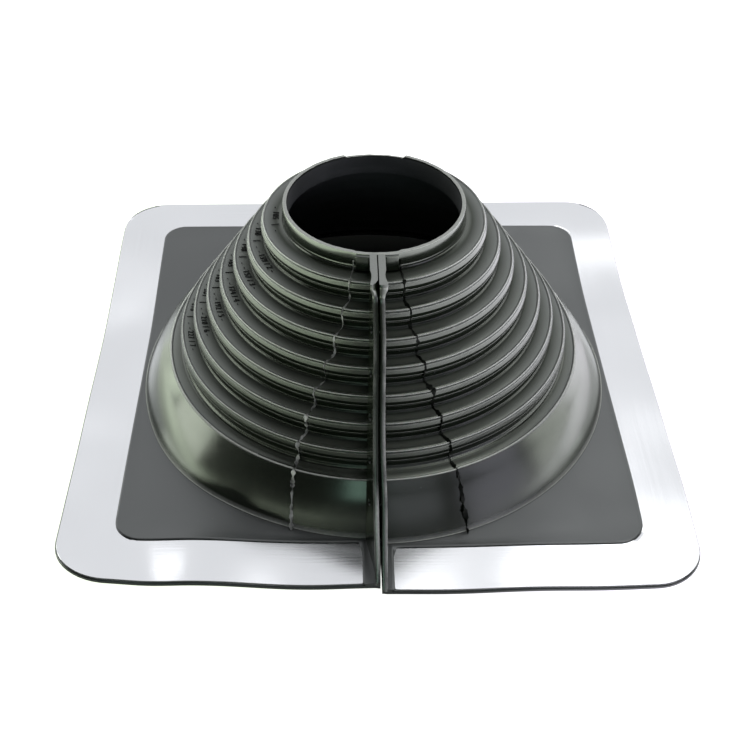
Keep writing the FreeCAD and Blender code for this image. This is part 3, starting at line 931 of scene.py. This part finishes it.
def strip_path(flange, half):
    """Matching inner and outer edge points of the strip, from one end round to the other."""
    inner, outer = [], []
    flat_in = flange.window - flange.window_corner
    corner_out = flange.corner - flange.margin
    outer_half = half - flange.margin
    flat_out = outer_half - corner_out
    ends = np.concatenate([np.linspace(0, 0.12, 12)[:-1], np.linspace(0.12, 1, 40)])
    for side in range(5):
        turn = SEAM + side * math.pi / 2
        c, s = math.cos(turn), math.sin(turn)

        def spot(along, away):
            return (away * c - along * s, away * s + along * c)

        gap = flange.strip_gap / 2 - (flange.right_tongue if side == 0 else 0)
        for share in {0: ends, 4: -ends[::-1]}.get(side, np.linspace(-1.0, 1.0, 80)):
            along_in, along_out, pull = flat_in * share, flat_out * share, 0.0
            if side in (0, 4):
                sign = 1 if side == 0 else -1
                along_in = sign * (gap + (flat_in - gap) * abs(share))
                along_out = sign * (gap + (flat_out - gap) * abs(share))
                near = flange.strip_end - (abs(along_in) - gap)
                if near > 0:
                    pull = flange.strip_end - math.sqrt(max(flange.strip_end ** 2 - near ** 2, 0))
            inner.append(spot(along_in, flange.window + pull))
            outer.append(spot(along_out, outer_half - pull))
        for step in range(1, 14) if side < 4 else ():
            bend = step / 14 * math.pi / 2
            lead, rise = math.sin(bend), math.cos(bend)
            for edge, flat_half, corner in ((inner, flat_in, flange.window_corner),
                                            (outer, flat_out, corner_out)):
                edge.append(spot(flat_half + corner * lead, flat_half + corner * rise))
    return np.array(inner), np.array(outer)


# Section of the strip over its top: share of its width and depth below the top
STRIP_SECTION = ((0.0, 0.12 * MM), (0.004, 0), (0.1, 0), (0.25, 0), (0.5, 0), (0.75, 0), (0.9, 0),
                 (0.996, 0), (1.0, 0.12 * MM))


class BOOT_OT_strip(bpy.types.Operator):
    """Soft aluminium strip round the flange, open at the seam"""
    bl_idname = "boot.strip"
    bl_label = "Strip"

    def execute(self, context):
        cone, flange = context.scene.boot_cone, context.scene.boot_flange
        inner, outer = strip_path(flange, BOX_HIGH.x)
        depth = STRIP_TOP - flange.sheet
        rows = []
        for share, down in ((0.0, depth), *STRIP_SECTION, (1.0, depth)):
            spot = inner + (outer - inner) * share
            rows.append(np.column_stack([spot, np.full(len(spot), STRIP_TOP - down)]))
        mesh = loft("aluminium_strip", rows)
        set_points(mesh, drape(get_points(mesh), cone, flange))
        finish_piece(mesh, "aluminium", "aluminium_frame", material=satin_aluminium(), sharp=40)
        return {"FINISHED"}


# ---- Seam lips --------------------------------------------------------------

EAR_REACH = 5.0 * MM           # how far the ear stands out at the rim
BEAD_REACH = 1.2 * MM          # width of the painted highlight bands along the free edge
COLLAR_MIDDLE, RING_MIDDLE = 1.3 * MM, 1.5 * MM        # from the outside in to the wall's middle
FLANGE_TOP = 5.0 * MM          # below this a lip's root runs in to the foot
LOW_LEVELS = (5.5 * MM, 4.7 * MM, 4.2 * MM, 2.6 * MM)  # a lip's last stations
# Half width of each lip's root at the foot and at the first tread, in mm from the slit's middle
ROOTS = {-1: (7.6, 4.3), 1: (4.1, 3.9)}
EAR_FLARE = {-1: 1.2 * MM, 1: 1.6 * MM}
EAR_CHAMFER = {-1: 2.2 * MM, 1: 0.0}


def free_edge(cone, seam, z):
    """Y of the lips' free edge at a height."""
    top = cone.rim_radius + seam.reach
    share = (cone.height - z) / (cone.height - seam.foot)
    ear = smoothstep(z, cone.height - 9 * MM, cone.height) * EAR_REACH
    return -(top + (BOX_HIGH.y - top) * share) - ear


def tip_radius(cone, flange, z):
    """Radius of the line through the ring tips at a height."""
    edge, level = shoulder(cone)
    return np.interp(z, (flange.panel, level, first_level(cone)),
                     (foot_radius(cone), edge, ring_radius(cone, 0)))


def wall_middle(cone, z):
    """Radius in the middle of the cone's wall at a height."""
    edge, level = shoulder(cone)
    if z >= first_level(cone):
        return cone.rim_radius - COLLAR_MIDDLE
    for ring in range(cone.rings):
        if z > ring_level(cone, ring) - cone.ring_drop:
            return ring_radius(cone, ring) - RING_MIDDLE
    skirt = np.interp(z, (0.004, level), (foot_radius(cone), edge))
    return max(ring_radius(cone, cone.rings - 1), skirt) - RING_MIDDLE


def lip_levels(cone):
    levels = [cone.height - down * MM for down in (0, 0.3, 1.5, 3, 5, 8)]
    for ring in range(cone.rings):
        levels += [ring_level(cone, ring) - down * MM
                   for down in (-0.06, 0.06, 2.5, 5.0, 7.5, 10.0)]
    return [*levels, *np.linspace(shoulder(cone)[1] - 0.1 * MM, LOW_LEVELS[0], 12), *LOW_LEVELS[1:]]


def lip_mesh(cone, seam, flange, side):
    """One upright lip: blade with an edge bead, wedge root and flared ear."""
    sections = []
    slit = seam.slit / 2
    for z in lip_levels(cone):
        free = free_edge(cone, seam, max(z, seam.foot))
        back = -wall_middle(cone, z) if z >= FLANGE_TOP else -(foot_radius(cone) - 1.0 * MM)
        above = float(smoothstep(z, first_level(cone), cone.height))
        root = float(np.interp(z, (0.01, first_level(cone)), ROOTS[side])) * MM
        root = root + (seam.lip + 1.3 * MM - root) * above
        tip = -(tip_radius(cone, flange, z) + 1.2 * MM)
        tip = min(tip, -cone.rim_radius - 2 * MM) if above < 1 else tip
        ear = float(smoothstep(z, cone.height - 7 * MM, cone.height - 2.5 * MM))
        flare, hang = ear * EAR_FLARE[side], EAR_CHAMFER[side] * ear
        lip, bead = seam.lip + 0.4 * MM * ear, seam.bead + flare
        outline = [(slit, free + 0.6 * MM + 1.6 * hang),
                   (slit + 0.25 * MM + 0.5 * hang, free + 0.15 * MM + 0.7 * hang),
                   (slit + 0.8 * MM + hang, free)]
        outline += offsets(bead, free, ((-0.7, 0), (-0.2, 0.3), (0, 1.0), (-0.15, 1.9)))
        outline += [(lip + flare * 0.75, free + 2.8 * MM), (lip + flare * 0.3, free + 6 * MM)]
        outline += [(lip + (root - lip) * share, free + 7 * MM + (tip - free - 7 * MM) * share)
                    for share in (0.33, 0.66, 1.0)]
        outline.append((root, back))
        outline += [(slit, back + (free + 0.6 * MM - back) * share)
                    for share in (0.0, 0.3, 0.6, 0.85)]
        sections.append([(side * x, y, z) for x, y in outline])
    return loft("lip", np.array(sections).transpose(1, 0, 2))


DRILL_SIDES, DRILL_LENGTH = 24, 30.0 * MM


def hole_tree():
    """Cuts a row of round holes through a lip."""
    tree = Tree("fastener_holes", count=5, radius=0.0025, start_y=0.0, start_z=0.0, step_y=0.0,
                step_z=0.0, material=lip_rubber())
    row = tree.node("MeshLine", Count=tree["Count"],
                    Start_Location=tree.vector(0.0, tree["Start Y"], tree["Start Z"]),
                    Offset=tree.vector(0.0, tree["Step Y"], tree["Step Z"]))
    drill = tree.node("MeshCylinder", Vertices=DRILL_SIDES, Radius=tree["Radius"],
                      Depth=DRILL_LENGTH)
    holes = tree.node("InstanceOnPoints", Points=row, Instance=drill.outputs["Mesh"],
                      Rotation=(0.0, math.pi / 2, 0.0))
    holes = tree.node("RealizeInstances", Geometry=holes)
    cut = tree.node("MeshBoolean", {"operation": "DIFFERENCE"}, _0=tree["Geometry"], _1=holes)
    tree.end(cut, tree["Material"])
    return tree


def lip_highlights_and_pale_top(points, cone, seam, side):
    """Paler places: flat top, streaked painted highlights on the edge bead and painted light on the
    turned-out inner edge low on the left.
    """
    x, y, z = points.T
    front = y < free_edge(cone, seam, np.maximum(z, seam.foot)) + BEAD_REACH
    outer = x * side > BEAD_REACH
    # Painted highlights streaked along the edge bead, stronger on the right lip.
    streak = 0.5 + 0.5 * np.sin(z * 310 + np.sin(z * 137) * 2)
    worn = np.where(front & outer, 0.3 + 0.35 * streak if side > 0 else 0.1 + 0.16 * streak, 0.0)
    if side < 0:
        # Painted light on the left lip's inner edge, low down where it turns out.
        worn = np.where(front & ~outer, between(z, 0.006, 0.014, 0.036, 0.05) * 0.9, worn)
    return np.where(z > cone.height - 0.1 * MM, 0.32, worn)


def limp(points, cone, seam, flange, side):
    """Lets the lips lean and part a little on the way down."""
    x, y, z = points.T
    free = free_edge(cone, seam, np.maximum(z, seam.foot))
    tip = -tip_radius(cone, flange, z)
    out = np.clip((y - tip) / (free - tip), 0, 1)
    part = between(z, 0.012, 0.034, 0.04, 0.066) * (0.6 * MM if side < 0 else 0.3 * MM)
    lean = 0.5 * MM * np.sin(z * 60 + 0.8) * between(z, 0.02, 0.06, 0.1, 0.125)
    return drape(np.stack([x + out * (side * part + lean), y, z], 1), cone, flange)


class BOOT_OT_lips(bpy.types.Operator):
    """Two upright seam lips with their holes"""
    bl_idname = "boot.lips"
    bl_label = "Seam Lips"

    def execute(self, context):
        scene = context.scene
        cone, flange, seam = scene.boot_cone, scene.boot_flange, scene.boot_seam
        slope = math.hypot(cone.ring_run, cone.ring_drop)
        run, drop = cone.ring_run / slope, cone.ring_drop / slope
        start_y = -(ring_radius(cone, 0) + seam.hole_stand * drop + seam.hole_pitch * run)
        start_z = first_level(cone) + seam.hole_stand * run - seam.hole_pitch * drop
        holes = hole_tree()
        for side, word in SIDES:
            mesh = holes.apply(
                f"seam_lip_{word}", lip_mesh(cone, seam, flange, side), count=seam.holes,
                radius=seam.hole / 2, start_y=start_y, start_z=start_z,
                step_y=-seam.hole_pitch * run, step_z=-seam.hole_pitch * drop)
            face_out(mesh)
            store(mesh, edge=lip_highlights_and_pale_top(get_points(mesh), cone, seam, side))
            set_points(mesh, limp(get_points(mesh), cone, seam, flange, side))
            finish_piece(mesh, "rubber", "rubber_boot", sharp=35)
        return {"FINISHED"}


# ---- Collar cheeks, parting flash and size marks ----------------------------

CHEEK_SPAN = (4.3, 11.8)       # mm from the slit's middle
CHEEK_SHARES = (0.0, 0.04, 0.12, 0.3, 0.5, 0.7, 0.88, 0.96, 1.0)
# Section of a cheek, out from the collar and up from the first tread, in mm
CHEEK_SECTION = ((-1.2, 0.5), (1.7, 0.5), (1.95, 0.7), (2.0, 1.0), (2.0, 9.0), (1.9, 9.5),
                 (1.6, 9.7), (-1.2, 9.7))


def cheek_mesh(name, cone, side):
    """Block on the collar beside the lips, with softened edges."""
    sections = []
    for share in CHEEK_SHARES:
        across = (CHEEK_SPAN[0] + (CHEEK_SPAN[1] - CHEEK_SPAN[0]) * share) * MM
        angle = math.asin(across / (cone.rim_radius + 2 * MM)) * side
        pull = 0.25 * MM * max(0, 1 - min(share, 1 - share) / 0.05)
        row = []
        for out, up in CHEEK_SECTION:
            reach = cone.rim_radius + out * MM - (pull if out > 0 else 0)
            row.append((reach * math.sin(angle), -reach * math.cos(angle),
                        first_level(cone) + up * MM))
        sections.append(row)
    return loft(name, np.array(sections).transpose(1, 0, 2))


class BOOT_OT_cheeks(bpy.types.Operator):
    """Thickened cheeks on the collar beside the lips"""
    bl_idname = "boot.cheeks"
    bl_label = "Collar Cheeks"

    def execute(self, context):
        for side, word in SIDES:
            mesh = cheek_mesh(f"collar_cheek_{word}", context.scene.boot_cone, side)
            finish_piece(mesh, "rubber", material=lip_rubber(), sharp=35)
        return {"FINISHED"}


def outer_line(cone, flange):
    """Radius and height pairs down the cone's outside, from the collar to the panel."""
    line = [point for point in head_points(cone) if point[0] > cone.rim_radius - 0.1 * MM][1:]
    for ring in range(cone.rings):
        radius, level = ring_radius(cone, ring), ring_level(cone, ring)
        line += [(radius + x, level + y) for x, y in ring_step(cone)]
    skirt = [point for point in foot_points(cone, flange) if point[1] > flange.panel]
    return line + [point for point in skirt[:20] if point[0] > ring_radius(cone, cone.rings - 1)]


FLASH_STEPS = 420
# Scales of the noises that move the stem, tear its edge and turn the blade
WANDER_SCALE, RAG_SCALE, TURN_SCALE = 150.0, 300.0, 90.0


def flash_tree():
    """A thin ragged fin of torn flash along a line: a wandering stem with a turning blade on it."""
    tree = Tree("parting_flash", stand=0.0013, thickness=0.0005, wander=0.0009, seed=1,
                material=mark_rubber())
    seed, stand, thickness = (tree[label] for label in ("Seed", "Stand", "Thickness"))
    line = tree.node("MeshToCurve", Mesh=tree["Geometry"])
    line = tree.node("ResampleCurve", {"mode": "COUNT"}, Curve=line, Count=FLASH_STEPS)
    at = tree.node("InputPosition")
    x, y, z = tree.split(at)
    drift = tree.noise(at, WANDER_SCALE, seed, Detail=4.0).outputs["Color"]
    drift = tree.arrow("SUBTRACT", drift, (0.5, 0.5, 0.5))
    drift = tree.arrow("SCALE", drift, factor=tree["Wander"])
    line = tree.node("SetPosition", Geometry=line, Offset=drift)
    ragged = tree.noise(at, RAG_SCALE, tree.math("ADD", seed, 7.0), Detail=3.0)
    ragged = tree.stretch(ragged, 0.38, 0.66, 0.15, 1.35)
    ragged = tree.times(ragged, tree.stretch(z, 0.03, 0.1, 1.5, 0.75))
    stem = tree.node("CurvePrimitiveCircle", Resolution=6, Radius=thickness)
    stem = tree.node("CurveToMesh", Curve=line, Profile_Curve=stem, Scale=ragged, Fill_Caps=True)
    out = tree.arrow("NORMALIZE", tree.vector(x, y, 0.0))
    out = tree.arrow("NORMALIZE", tree.arrow("ADD", out, (0.0, 0.0, 0.7)))
    crest = tree.node("SetPosition", Geometry=line,
                      Offset=tree.arrow("SCALE", out, factor=tree.times(stand, 0.6)))
    turn = tree.noise(at, TURN_SCALE, tree.math("ADD", seed, 21.0))
    crest = tree.node("SetCurveTilt", Curve=crest, Tilt=tree.times(turn, 9.0))
    blade = tree.node("CurvePrimitiveQuadrilateral", Width=tree.times(stand, 1.5),
                      Height=tree.times(thickness, 0.5))
    crest = tree.node("CurveToMesh", Curve=crest, Profile_Curve=blade, Scale=ragged, Fill_Caps=True)
    tree.end(tree.node("JoinGeometry", Geometry=[stem, crest]), tree["Material"])
    return tree


# Thickness in mm and seed of each line of flash
FLASH = {-1: (0.32, 3), 1: (0.42, 8)}
FLASH_STAND = 3.4              # times its thickness


class BOOT_OT_flash(bpy.types.Operator):
    """Torn flash along the two parting lines of the mould"""
    bl_idname = "boot.flash"
    bl_label = "Parting Flash"

    def execute(self, context):
        cone, flange = context.scene.boot_cone, context.scene.boot_flange
        tree = flash_tree()
        radius, z = np.array(outer_line(cone, flange)).T
        for side, word in SIDES:
            angle = parting_angle(radius, side) * side
            points = np.stack([radius * np.sin(angle), -radius * np.cos(angle), z], 1)
            thick, seed = FLASH[side]
            mesh = tree.apply(
                f"parting_flash_{word}", line_from("flash_line", drape(points, cone, flange)),
                thickness=thick * MM, stand=thick * FLASH_STAND * MM, seed=seed,
                material=torn_rubber() if side < 0 else mark_rubber())
            finish_piece(mesh, "rubber", sharp=50)
        return {"FINISHED"}


def mark_tree():
    """Raised plain figures bent round the axis on a tread."""
    tree = Tree("tread_mark", text="0", size=0.004, radius=0.06, angle=0.0, level=0.1,
                relief=0.0003, material=mark_rubber())
    words = tree.node("StringToCurves", String=tree["Text"], Size=tree["Size"],
                      Character_Spacing=1.1)
    words = tree.node("RealizeInstances", Geometry=words.outputs[0])
    words = tree.node("ResampleCurve", {"mode": "EVALUATED"}, Curve=words)
    face = tree.node("FillCurve", {"mode": "TRIANGLES"}, Curve=words)
    raised = tree.node("ExtrudeMesh", Mesh=face, Offset_Scale=tree["Relief"], Individual=False)
    base = tree.node("FlipFaces", Mesh=face)
    both = tree.node("JoinGeometry", Geometry=[raised, base])
    both = tree.node("MergeByDistance", Geometry=both, Distance=1e-6)
    x, y, z = tree.split(tree.node("InputPosition"))
    reach = tree.math("SUBTRACT", tree["Radius"], y)
    angle = tree.math("ADD", tree["Angle"], tree.math("DIVIDE", x, tree["Radius"]))
    bent = tree.vector(tree.times(reach, tree.math("COSINE", angle)),
                       tree.times(reach, tree.math("SINE", angle)),
                       tree.math("ADD", tree["Level"], z))
    tree.end(tree.node("SetPosition", Geometry=both, Position=bent), tree["Material"])
    return tree


MARK_START = math.radians(170.5)
MARK_SIZE = 4.9 * MM
MARK_INSET, FIRST_INSET = 4.6 * MM, 6.8 * MM     # in from the tread's edge
MARK_SINK = 0.05 * MM


class BOOT_OT_marks(bpy.types.Operator):
    """Plain ring diameters in millimetres on the treads"""
    bl_idname = "boot.marks"
    bl_label = "Size Marks"

    def execute(self, context):
        cone = context.scene.boot_cone
        tree = mark_tree()
        for ring in range(cone.rings):
            across = round(2000 * (ring_radius(cone, ring - 1) if ring else cone.rim_radius))
            text = f".  {across}   |   ." + (f"  - {across + 9} / {ring + 1} -" if ring else "")
            mesh = tree.apply(
                f"size_mark_{ring + 1}", bpy.data.meshes.new("blank"), text=text, size=MARK_SIZE,
                radius=ring_radius(cone, ring) - (MARK_INSET if ring else FIRST_INSET),
                angle=MARK_START, level=ring_level(cone, ring) - MARK_SINK)
            finish_piece(mesh, "rubber")
        return {"FINISHED"}


# ---- Stage ------------------------------------------------------------------

CAMERA_AT = Vector((-0.0180, -0.5443, 0.4871))
CAMERA_TO = Vector((-0.00095, -0.0667, 0.05744))
CAMERA_ROLL = math.radians(0.75)
LENS = 54.4                    # mm, on a 36 mm sensor
FLOOR_HALF, FLOOR_LEVEL = 6.0, -0.2 * MM
FLOOR_GLOW = 4.0
WORLD_GLOW = 0.05
BOOT_MIDDLE = Vector((0, 0, 0.05))
# Soft boxes: name, place, size, brightness of their face and tint; all look at the boot
LIGHTS = (
    ("back_wall", (-0.2, 2.2, 1.8), (4.6, 3.4), 0.93, (0.97, 0.98, 1.0)),
    ("back_top", (0.74, 1.4, 2.12), (0.9, 0.6), 1.5, (1.0, 1.0, 1.0)),
    ("top", (0.9, -0.1, 2.3), (1.4, 1.4), 2.4, (1.0, 1.0, 1.0)),
    ("window", (-0.66, 1.5, 1.98), (0.34, 0.11), 2.2, (1.0, 1.0, 1.0)),
    ("left_strip", (-1.4, 0.08, 0.24), (0.6, 0.4), 3.8, (0.97, 1.0, 0.92)),
    ("left_back", (-1.6, 1.4, 0.6), (1.8, 1.3), 1.15, (0.98, 1.0, 1.0)),
    ("right_wall", (1.75, 1.2, 0.6), (2.0, 1.3), 1.3, (1.0, 1.0, 1.0)),
    ("right_strip", (1.5, -0.08, 0.22), (0.7, 0.36), 2.0, (1.0, 1.0, 1.0)),
    ("front_right", (1.75, -1.25, 0.5), (1.2, 0.8), 1.0, (0.84, 0.78, 1.0)),
    ("front_middle", (0.6, -2.0, 0.75), (0.9, 0.7), 0.6, (0.86, 0.84, 1.0)),
    ("front_low", (-0.26, -1.9, 0.8), (0.34, 0.5), 1.6, (0.66, 1.0, 0.9)),
)


def area_light(name, at, size, brightness, tint):
    light = bpy.data.lights.new(name, "AREA")
    light.shape = "RECTANGLE"
    light.size, light.size_y = size
    light.energy = brightness * math.pi * size[0] * size[1]
    light.color = tint
    obj = add_object(name, light)
    obj.location = at
    obj.rotation_euler = (BOOT_MIDDLE - Vector(at)).to_track_quat("-Z", "Y").to_euler()


def pale_floor(look):
    """Floor with a painted shadow under the boot and glowing round it as painted light, more in
    reflections than in the view.
    """
    finish = Finish("pale_floor")
    spot = finish.here()
    away = finish.arrow("LENGTH", spot).outputs["Value"]
    x, y, _ = finish.split(spot)
    # Painted shadow: under the boot the floor takes the rubber's colour and no glow.
    outside_painted_shadow = finish.stretch(away, 0.156, 0.164)
    seen = finish.times(finish.node("LightPath").outputs["Is Camera Ray"], 0.3)
    # Painted light: round the boot the floor glows unevenly, brighter behind, to the right and far
    # left, for the boot's reflections.
    lit = finish.math("MAXIMUM", finish.stretch(y, -0.16, 0.08, 0.04, 0.4), seen)
    lit = finish.math("MAXIMUM", lit, finish.stretch(x, 0.02, 0.3, 0.05, 0.8))
    lit = finish.math("MAXIMUM", lit, finish.stretch(x, -0.31, -0.24, 0.85, 0.04))
    cast = finish.mix(finish.stretch(x, -0.1, 0.1), (0.92, 1.0, 0.84), (0.95, 0.92, 1.0))
    return finish.end(Base_Color=finish.mix(outside_painted_shadow, look.rubber, look.floor), Roughness=0.9,
                      Emission_Color=finish.mix(finish.times(outside_painted_shadow, lit), (0, 0, 0), cast),
                      Emission_Strength=FLOOR_GLOW)


class BOOT_OT_stage(bpy.types.Operator):
    """Pale floor, soft studio lights and the camera"""
    bl_idname = "boot.stage"
    bl_label = "Stage"

    def execute(self, context):
        scene = context.scene
        corners = [(x * FLOOR_HALF, y * FLOOR_HALF, FLOOR_LEVEL)
                   for x, y in ((-1, -1), (1, -1), (1, 1), (-1, 1))]
        floor = add_object("floor", mesh_from("floor", corners, [(0, 1, 2, 3)]))
        floor.data.materials.append(pale_floor(scene.boot_look))
        world = bpy.data.worlds.new("studio")
        world.use_nodes = True
        background = world.node_tree.nodes["Background"].inputs
        background[0].default_value = (1, 1, 1, 1)
        background[1].default_value = WORLD_GLOW
        scene.world = world
        for light in LIGHTS:
            area_light(*light)
        camera = bpy.data.cameras.new("view")
        camera.lens = LENS
        camera.sensor_width = 36
        camera.clip_start = 0.01
        camera.clip_end = 50
        obj = add_object("view", camera)
        obj.location = CAMERA_AT
        look_at = (CAMERA_TO - CAMERA_AT).to_track_quat("-Z", "Y").to_matrix()
        obj.rotation_euler = (look_at @ Matrix.Rotation(CAMERA_ROLL, 3, "Z")).to_euler()
        scene.camera = obj
        scene.view_settings.view_transform = "Standard"
        return {"FINISHED"}


# ---- Panel and registration -------------------------------------------------

GROUPS = (("boot_cone", BootCone), ("boot_flange", BootFlange), ("boot_seam", BootSeam),
          ("boot_look", BootLook))
OPERATORS = (BOOT_OT_cone, BOOT_OT_flange, BOOT_OT_strip, BOOT_OT_lips, BOOT_OT_cheeks,
             BOOT_OT_flash, BOOT_OT_marks, BOOT_OT_stage)


class BOOT_PT_panel(bpy.types.Panel):
    """Sizes, colours and build steps of the boot"""
    bl_label = "Flashing Boot"
    bl_space_type = "VIEW_3D"
    bl_region_type = "UI"
    bl_category = "Boot"

    def draw(self, context):
        for name, group in GROUPS:
            box = self.layout.box()
            for key in group.__annotations__:
                box.prop(getattr(context.scene, name), key)
        for operator in OPERATORS:
            self.layout.operator(operator.bl_idname)


def register():
    for name, group in GROUPS:
        bpy.utils.register_class(group)
        setattr(bpy.types.Scene, name, bpy.props.PointerProperty(type=group))
    for operator in OPERATORS:
        bpy.utils.register_class(operator)
    bpy.utils.register_class(BOOT_PT_panel)


def unregister():
    bpy.utils.unregister_class(BOOT_PT_panel)
    for operator in reversed(OPERATORS):
        bpy.utils.unregister_class(operator)
    for name, group in reversed(GROUPS):
        delattr(bpy.types.Scene, name)
        bpy.utils.unregister_class(group)


def main():
    register()
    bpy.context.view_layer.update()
    bpy.ops.boot.cone()
    bpy.ops.boot.flange()
    bpy.ops.boot.strip()
    bpy.ops.boot.lips()
    bpy.ops.boot.cheeks()
    bpy.ops.boot.flash()
    bpy.ops.boot.marks()
    bpy.ops.boot.stage()


if __name__ == "__main__":
    main()
